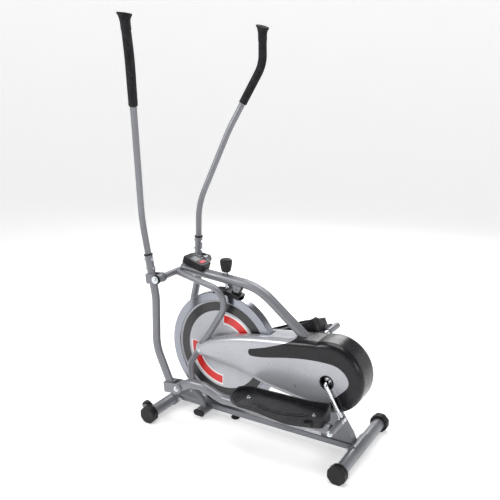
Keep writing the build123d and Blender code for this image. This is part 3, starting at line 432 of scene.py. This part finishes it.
# ---------------------------------------------------------------- foam handgrips
GRIP_START = Vector((0.0618, 0.2622, 0.670))
GRIP_BEND = Vector((0.113, 0.311, 0.832))
GRIP_TIP = Vector((0.1035, 0.300, 0.968))
BEND_RADIUS = 0.150
GRIP_RADIUS, HAND_SWELL = 0.0168, 0.0005
ROLLED_EDGE, ROLL_DEPTH = 0.004, 0.0034  # length and depth of the rounded lower edge
COLLAR, COLLAR_STEP = 0.046, 0.0013  # length and height of the thicker top end
FLARE, FLARE_RISE = 0.022, 0.0042  # length and height of the flare into the end stop
END_SLANT = tan(radians(15))
TUBE_MOUTH = 0.0128  # radius inside the lower end, just clear of the arm's tube
FIRST_STEPS = (0.0, 0.0008, 0.0018, 0.003)  # rings along the rolled edge
END_STOP = (  # rise above the sleeve and radius
    (0.0030, 0.0241), (0.0060, 0.0257), (0.0085, 0.0268), (0.0100, 0.0270), (0.0112, 0.0264),
    (0.0119, 0.0250), (0.0122, 0.0226), (0.0122, 0.0180), (0.0120, 0.0130), (0.0113, 0.0122),
    (0.0108, 0.0060))


def bent_line(start, corner, end, radius, steps=26):
    """Centre line (point, direction) of two straight runs joined by an arc."""
    a, b = (corner - start).normalized(), (end - corner).normalized()
    angle = a.angle(b)
    setback = radius * tan(angle / 2)
    first, last = corner - a * setback, corner + b * setback
    inward = (b - a).normalized()
    centre = corner + inward * (radius / cos(angle / 2))
    line = []
    run = (first - start).length
    for i in range(steps):
        line.append((start + a * (run * i / steps), a))
    axis = a.cross(b).normalized()
    spoke = first - centre
    for i in range(steps + 1):
        turn = Matrix.Rotation(angle * i / steps, 3, axis)
        line.append((centre + turn @ spoke, turn @ a))
    run = (end - last).length
    for i in range(1, 2 * steps + 1):
        line.append((last + b * (run * i / (2 * steps)), b))
    return line


def grip_radius(distance, total):
    """Foam sleeve: rolled lower edge, slight hand swell, collar, flare into the end stop."""
    r = GRIP_RADIUS + HAND_SWELL * sin(pi * distance / total)
    if distance < ROLLED_EDGE:
        r -= ROLL_DEPTH * (1 - sqrt(max(0.0, 1 - (1 - distance / ROLLED_EDGE) ** 2)))
    step = min(1.0, max(0.0, (distance - (total - COLLAR)) / 0.002))
    flare = max(0.0, (distance - (total - FLARE)) / FLARE)
    return r + COLLAR_STEP * step + FLARE_RISE * flare ** 1.8


def slanted(points, centre, up, share):
    """Tip a ring so that its rear edge lies lower than its front edge."""
    return [p - up * ((p - centre).x * END_SLANT * share) for p in points]


for side_name, side in SIDES.items():
    place = arm_matrix(side) @ Matrix.Diagonal((1, side, 1, 1))
    turn = place.to_3x3()
    bent = bent_line(GRIP_START, GRIP_BEND, GRIP_TIP, BEND_RADIUS)
    line = [(place @ point, turn @ direction) for point, direction in bent]
    travelled, distances = 0.0, [0.0]
    for (p, _), (q, _) in zip(line, line[1:]):
        travelled += (q - p).length
        distances.append(travelled)
    foot, start = line[0]
    rings = [ring(foot, start, TUBE_MOUTH)]
    for step in FIRST_STEPS:
        rings.append(ring(foot + start * step, start, grip_radius(step, travelled)))
    for (point, direction), distance in list(zip(line, distances))[1:]:
        share = max(0.0, (distance - (travelled - FLARE)) / FLARE)
        circle = ring(point, direction, grip_radius(distance, travelled))
        rings.append(slanted(circle, point, direction, share))
    tip, up = line[-1]
    for rise, radius in END_STOP:
        centre = tip + up * rise
        rings.append(slanted(ring(centre, up, radius), centre, up, 1.0))
    bm = bmesh.new()
    loft(bm, rings)
    grip = finish_piece(f"{side_name}_foam_grip", bm, f"{side_name}_arm", "foam", 0.6)
    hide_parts(f"{side_name}_grip", f"{side_name}_grip_end")


# ---------------------------------------------------------------- crank grommets in the covers
GROMMET = (  # radius and height above the cover's face
    (0.0242, -0.0035), (0.0236, 0.0004), (0.0244, 0.0014), (0.0268, 0.0018),
    (0.0288, 0.0009), (0.0294, -0.0002), (0.0270, -0.0006), (0.0246, -0.0035))

for side_name, side in SIDES.items():
    face = side * max(abs(c.y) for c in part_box(f"{side_name}_cover"))
    bevel = turned(CRANK, [(radius, face + side * height) for radius, height in GROMMET])
    finish_piece(f"{side_name}_crank_grommet", bevel, "frame", "black_plastic", 0.9)


# ---------------------------------------------------------------- weld beads
CROSS_TUBE = (PIVOT.x, PIVOT.z)  # x and z of the cross tube's axis
CROSS_RADIUS, MAIN_RADIUS, BRACE_RADIUS = 0.0127, 0.0195, 0.0127
MAIN_START, MAIN_DIRECTION = Vector((-0.2, 0, PIVOT.z + 0.0004)), Vector((0.360, 0, -0.025))
BRACE_Y, BRACE_DIRECTION = 0.048, Vector((0.274, 0, -0.058))
BEAD_SIDES = 10


def saddle(axis_point, axis, radius, target, target_radius, count=90):
    """Closed line where a round tube along an axis runs out of a cylinder along Y.

    A line of the tube that misses the cylinder gives its nearest point to it instead.
    """
    axis = axis.normalized()
    points = []
    for p in ring(axis_point, axis, radius, count):
        dx, dz = p.x - target[0], p.z - target[1]
        a = axis.x ** 2 + axis.z ** 2
        b = 2 * (dx * axis.x + dz * axis.z)
        c = dx * dx + dz * dz - target_radius ** 2
        root = b * b - 4 * a * c
        if root < 0:
            t = -b / (2 * a)
        else:
            t = (-b + sqrt(root)) / (2 * a)
        points.append(p + axis * t)
    return points


def bead(name, points, size):
    """A stacked-ripple weld bead on the frame, along a closed line."""
    bm = bmesh.new()
    count = len(points)
    rows = []
    for i, point in enumerate(points):
        ahead = points[(i + 1) % count] - points[i - 1]
        ripple = size * (1 + 0.16 * sin(i * 2.1) + 0.06 * sin(i * 0.7))
        circle = ring(point, ahead, ripple, BEAD_SIDES, Vector((0.3, 0.5, 0.8)))
        rows.append([bm.verts.new(v) for v in circle])
    for row, following in zip(rows, rows[1:] + rows[:1]):
        for j in range(BEAD_SIDES):
            k = (j + 1) % BEAD_SIDES
            bm.faces.new((row[j], row[k], following[k], following[j]))
    finish_piece(name, bm, "frame", "frame_paint", 1.2)


main_line = saddle(MAIN_START, MAIN_DIRECTION, MAIN_RADIUS, CROSS_TUBE, CROSS_RADIUS)
bead("main_tube_weld", main_line, 0.0019)
for side_name, side in SIDES.items():
    start = Vector((PIVOT.x, side * BRACE_Y, PIVOT.z)) + BRACE_DIRECTION.normalized() * 0.03
    brace_line = saddle(start, BRACE_DIRECTION, BRACE_RADIUS, CROSS_TUBE, CROSS_RADIUS)
    bead(f"{side_name}_brace_weld", brace_line, 0.0016)


# ---------------------------------------------------------------- floor, light, camera
FLAT_RADIUS, COVE_RADIUS, RIM_HEIGHT = 5.0, 3.0, 3.4  # a wide bowl: flat floor, rounded wall
SEGMENTS = 96

bowl = [(1.5, 0.0), (3.0, 0.0), (FLAT_RADIUS, 0.0)]
for degrees in range(6, 91, 6):
    rise = radians(degrees)
    bowl.append((FLAT_RADIUS + COVE_RADIUS * sin(rise), COVE_RADIUS * (1 - cos(rise))))
bowl.append((FLAT_RADIUS + COVE_RADIUS, RIM_HEIGHT))
around = [2 * pi * i / SEGMENTS for i in range(SEGMENTS)]
bm = bmesh.new()
rows = [[bm.verts.new((r * cos(a), r * sin(a), z)) for a in around] for r, z in bowl]
hub = bm.verts.new((0, 0, 0))
for i in range(SEGMENTS):
    bm.faces.new((hub, rows[0][i], rows[0][(i + 1) % SEGMENTS]))
for lower, upper in zip(rows, rows[1:]):
    for i in range(SEGMENTS):
        k = (i + 1) % SEGMENTS
        bm.faces.new((lower[i], upper[i], upper[k], lower[k]))
bmesh.ops.recalc_face_normals(bm, faces=bm.faces)
floor_mesh = bpy.data.meshes.new("studio_floor")
bm.to_mesh(floor_mesh)
bm.free()
floor_mesh.shade_smooth()
floor_mesh.materials.append(studio_white())
floor = bpy.data.objects.new("studio_floor", floor_mesh)
scene.collection.objects.link(floor)

world = bpy.data.worlds.new("studio")
scene.world = world
world.use_nodes = True
background = world.node_tree.nodes["Background"]
background.inputs["Color"].default_value = (1, 1, 1, 1)
background.inputs["Strength"].default_value = 0.30


def softbox(name, place, target, size, power):
    """A square area light, aimed at the target; its size in metres, its power in watts."""
    light = bpy.data.lights.new(name, "AREA")
    light.energy = power
    light.shape = "SQUARE"
    light.size = size
    lamp = bpy.data.objects.new(name, light)
    lamp.location = place
    lamp.rotation_euler = (Vector(target) - Vector(place)).to_track_quat("-Z", "Y").to_euler()
    scene.collection.objects.link(lamp)


middle = (0.15, 0.0, 0.6)
softbox("overhead", (0.1, 0.2, 3.3), middle, 2.2, 62)
softbox("key", (-1.8, -2.4, 2.4), middle, 1.2, 46)
softbox("fill", (2.9, -1.2, 1.4), middle, 1.0, 12)
softbox("rim_back", (-0.6, 2.6, 2.2), middle, 1.4, 30)

camera_data = bpy.data.cameras.new("camera")
camera_data.sensor_width = 36
camera_data.lens = 48.80
camera = bpy.data.objects.new("camera", camera_data)
camera.location = (1.3626, -2.1763, 1.4279)
camera.rotation_euler = (radians(74.8), 0, radians(30.7))
scene.collection.objects.link(camera)
scene.camera = camera
